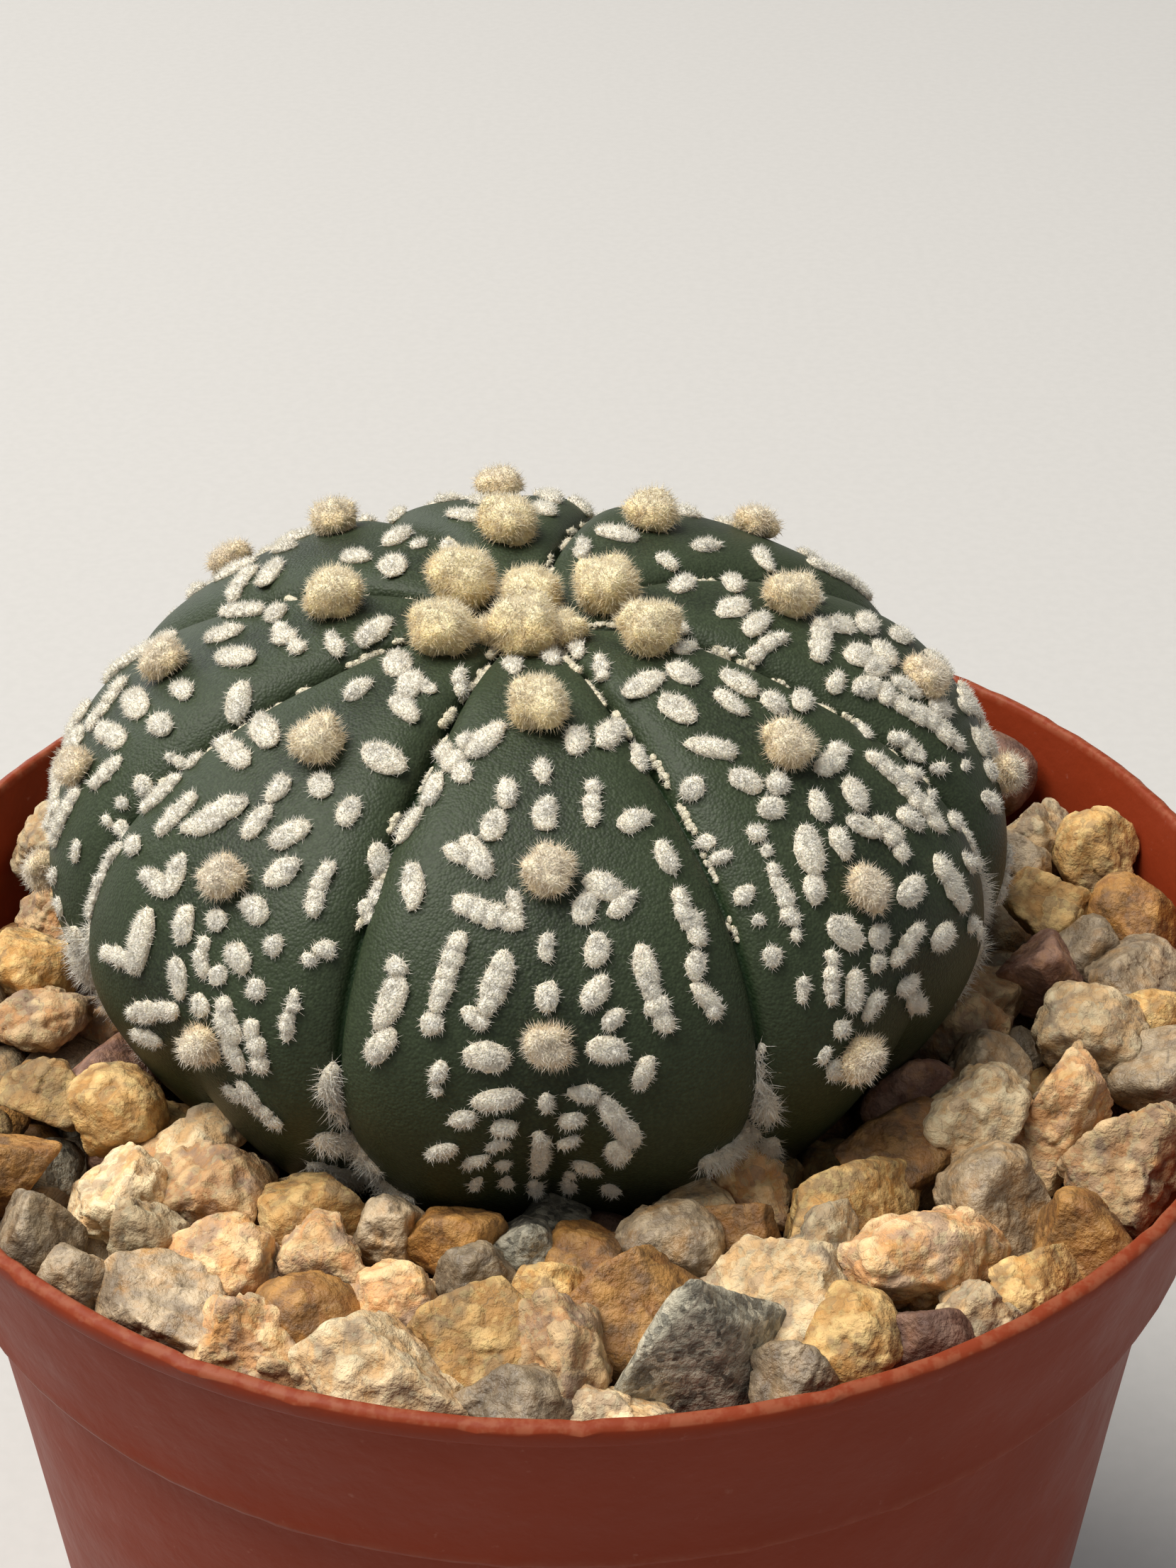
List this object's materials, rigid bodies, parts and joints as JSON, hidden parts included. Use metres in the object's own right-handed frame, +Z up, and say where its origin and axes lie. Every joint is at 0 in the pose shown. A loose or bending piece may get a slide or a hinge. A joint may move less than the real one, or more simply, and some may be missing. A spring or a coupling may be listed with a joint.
{
  "type": "potted round cactus",
  "caption": "Flat globe cactus with broad ribs, felted tufts and white wool flecks, in a small tapered plastic pot topped with granite gravel.",
  "frame": {"origin": "middle of the pot's underside, on the plane that it stands on", "axes": "+Z up along the pot's axis; -Y towards the side seen from the front; +X to the right of it"},
  "size_m": [0.085, 0.085, 0.0958],
  "materials": {
    "pot_plastic": "semi-matt terracotta-coloured moulded plastic, lighter along the raw lip edge",
    "soil": "dark crumbly potting soil",
    "granite": "broken granite in cream, peach, ochre, grey and mauve, dull to waxy",
    "cactus_skin": "dark grey-green waxy skin with a fine pebble grain",
    "tuft_wool": "dense cream to beige felt of short hairs",
    "fleck_wool": "matted off-white wool with a hairy fringe"
  },
  "bodies": {
    "root": {"pot": "pot_plastic", "substrate": "soil", "gravel": "granite", "cactus": "cactus_skin"}
  },
  "joints": []
}
